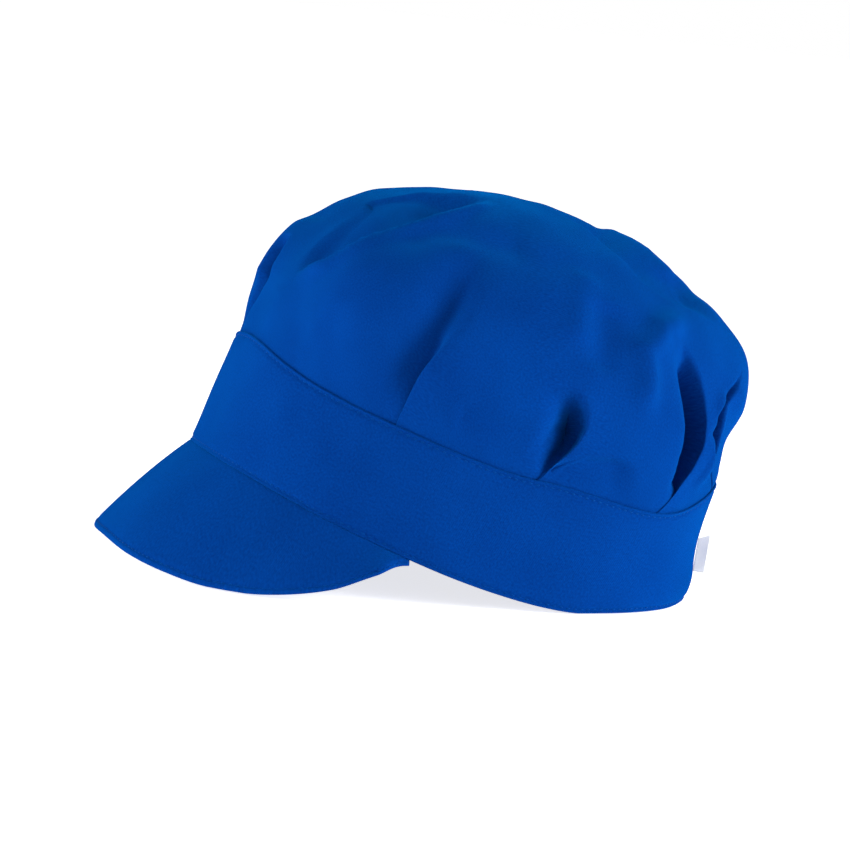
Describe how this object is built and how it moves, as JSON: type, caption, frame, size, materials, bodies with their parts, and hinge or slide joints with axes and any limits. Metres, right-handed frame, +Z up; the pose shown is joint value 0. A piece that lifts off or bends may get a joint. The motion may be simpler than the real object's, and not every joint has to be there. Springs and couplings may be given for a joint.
{
  "type": "chef hat",
  "caption": "Soft cloth cook's cap with a puffed pleated crown, a stitched head band and a short stiffened peak, lying on its rim.",
  "frame": {"origin": "on the surface that the cap lies on, under the middle of its bounding box", "axes": "+Z up from that surface, -Y the way the peak points, +X the wearer's left"},
  "size_m": [0.176, 0.24, 0.1434],
  "materials": {
    "blue_cloth": "matt woven poly-cotton, royal blue",
    "white_ribbon": "fine woven white ribbon, matt"
  },
  "bodies": {
    "root": {"crown": "blue_cloth", "band": "blue_cloth", "peak": "blue_cloth", "label": "white_ribbon"}
  },
  "joints": []
}
